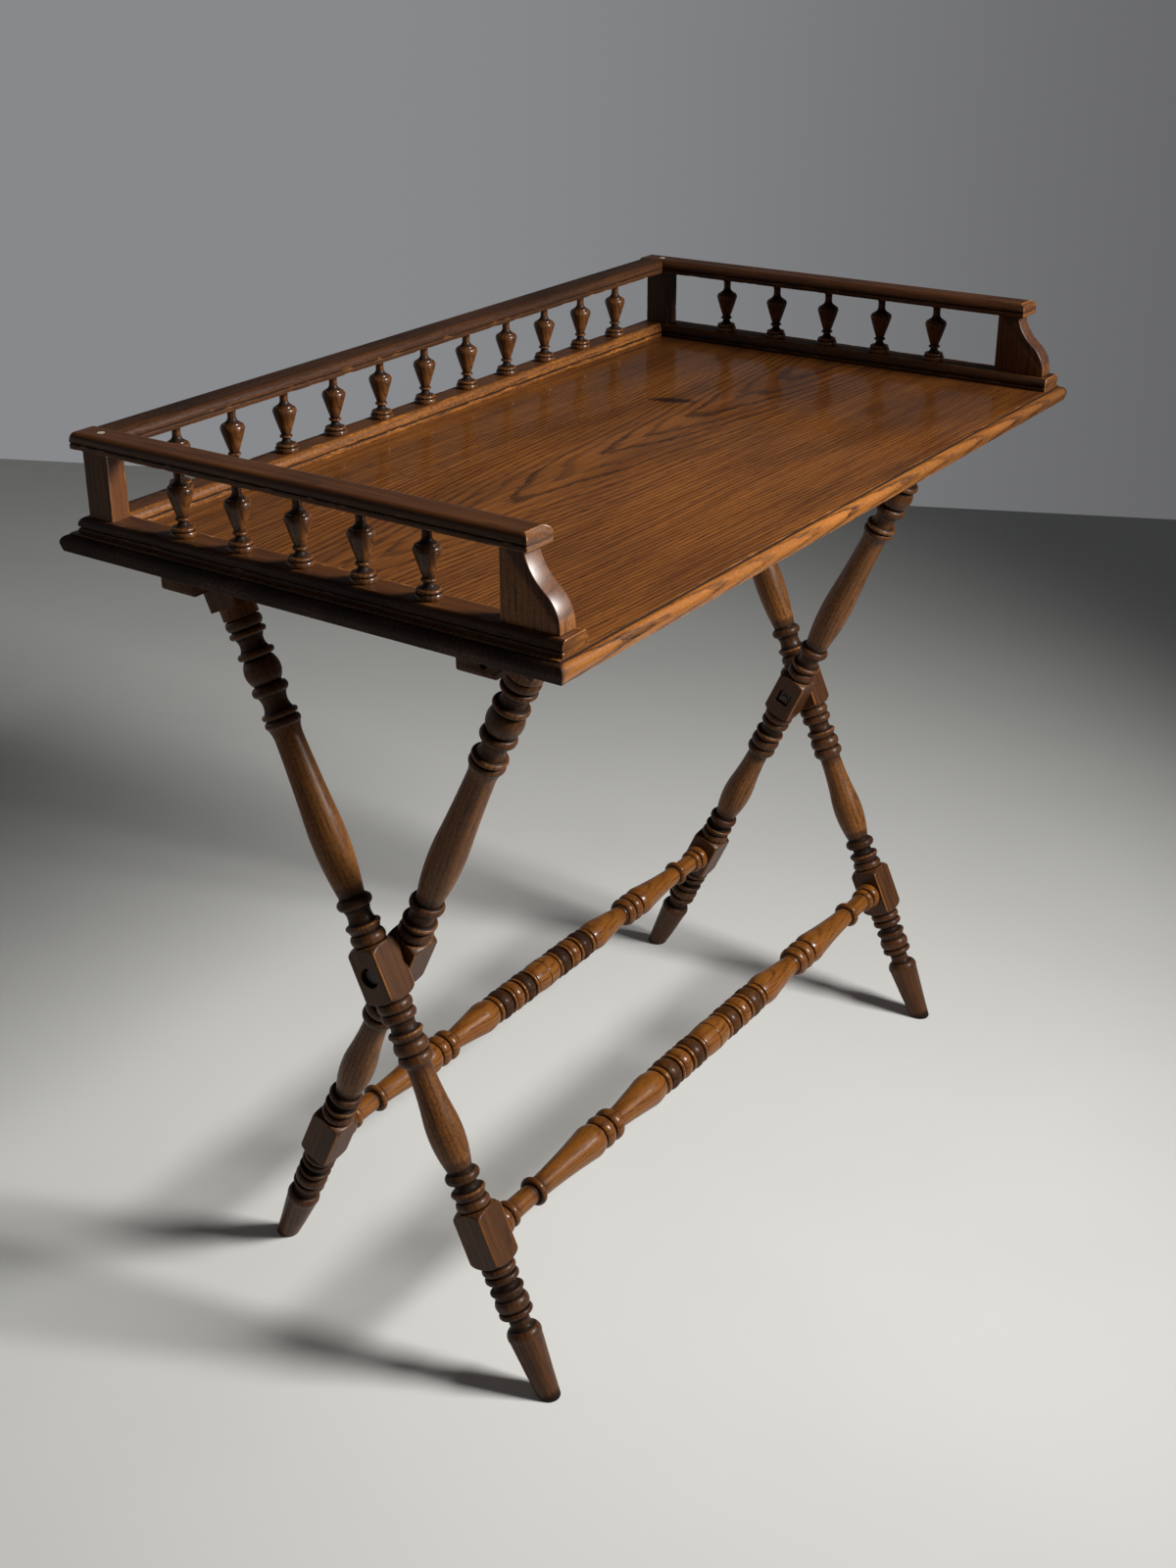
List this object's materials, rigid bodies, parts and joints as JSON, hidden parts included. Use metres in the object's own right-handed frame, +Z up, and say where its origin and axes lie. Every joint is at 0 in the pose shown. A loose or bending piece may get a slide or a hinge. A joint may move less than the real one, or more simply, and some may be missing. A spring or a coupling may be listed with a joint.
{
  "type": "butlers tray table",
  "caption": "Folding butler's tray table: an oak tray with a spindle gallery round the back and sides, carried on a turned X-shaped stand with stretchers.",
  "frame": {"origin": "on the floor under the middle of the tray", "axes": "+X along the tray's long side, +Y from the open front towards the back gallery, +Z up"},
  "size_m": [0.852, 0.482, 0.789],
  "materials": {
    "tray_oak": "stained oak, polished, grain along X",
    "gallery_oak": "dark stained oak, polished, worn lighter on the mouldings",
    "spindle_oak": "dark stained oak, polished",
    "leg_oak": "stained oak, polished, dark dirt in the grooves",
    "stretcher_oak": "stained oak, polished, dark dirt in the grooves",
    "batten_oak": "dark stained oak, dull",
    "peg_wood": "pale end grain",
    "black_iron": "dark, dull",
    "dull_steel": "dull"
  },
  "bodies": {
    "inner_frame": {"leg_inner_left": "leg_oak", "leg_inner_right": "leg_oak", "pivot_bolt_left": "black_iron", "pivot_bolt_right": "black_iron", "pivot_nut_left": "black_iron", "pivot_nut_right": "black_iron", "stretcher_back": "stretcher_oak"},
    "outer_frame": {"leg_outer_left": "leg_oak", "leg_outer_right": "leg_oak", "stretcher_front": "stretcher_oak"},
    "tray": {"batten_back": "batten_oak", "batten_front": "batten_oak", "batten_screws": "dull_steel", "corner_peg_left": "peg_wood", "corner_peg_right": "peg_wood", "corner_post_left": "gallery_oak", "corner_post_right": "gallery_oak", "plinth_back": "gallery_oak", "plinth_left": "gallery_oak", "plinth_right": "gallery_oak", "rail_back": "gallery_oak", "rail_left": "gallery_oak", "rail_right": "gallery_oak", "scroll_left": "gallery_oak", "scroll_right": "gallery_oak", "spindle_back_1": "spindle_oak", "spindle_back_10": "spindle_oak", "spindle_back_11": "spindle_oak", "spindle_back_2": "spindle_oak", "spindle_back_3": "spindle_oak", "spindle_back_4": "spindle_oak", "spindle_back_5": "spindle_oak", "spindle_back_6": "spindle_oak", "spindle_back_7": "spindle_oak", "spindle_back_8": "spindle_oak", "spindle_back_9": "spindle_oak", "spindle_left_1": "spindle_oak", "spindle_left_2": "spindle_oak", "spindle_left_3": "spindle_oak", "spindle_left_4": "spindle_oak", "spindle_left_5": "spindle_oak", "spindle_right_1": "spindle_oak", "spindle_right_2": "spindle_oak", "spindle_right_3": "spindle_oak", "spindle_right_4": "spindle_oak", "spindle_right_5": "spindle_oak", "tilt_pin_left": "dull_steel", "tilt_pin_right": "dull_steel", "tray_board": "tray_oak"}
  },
  "joints": [
    {"name": "fold", "type": "hinge", "parent": "inner_frame", "child": "outer_frame", "pos_m": [0, -0.0096, 0.362], "axis": [1, 0, 0], "range_deg": [0, 40]},
    {"name": "tray_tilt", "type": "hinge", "parent": "inner_frame", "child": "tray", "pos_m": [0, -0.15233, 0.6782], "axis": [1, 0, 0], "range_deg": [0, 20]}
  ],
  "couplings": [
    {"joint": "tray_tilt", "follows": "fold", "ratio": 0.5}
  ]
}
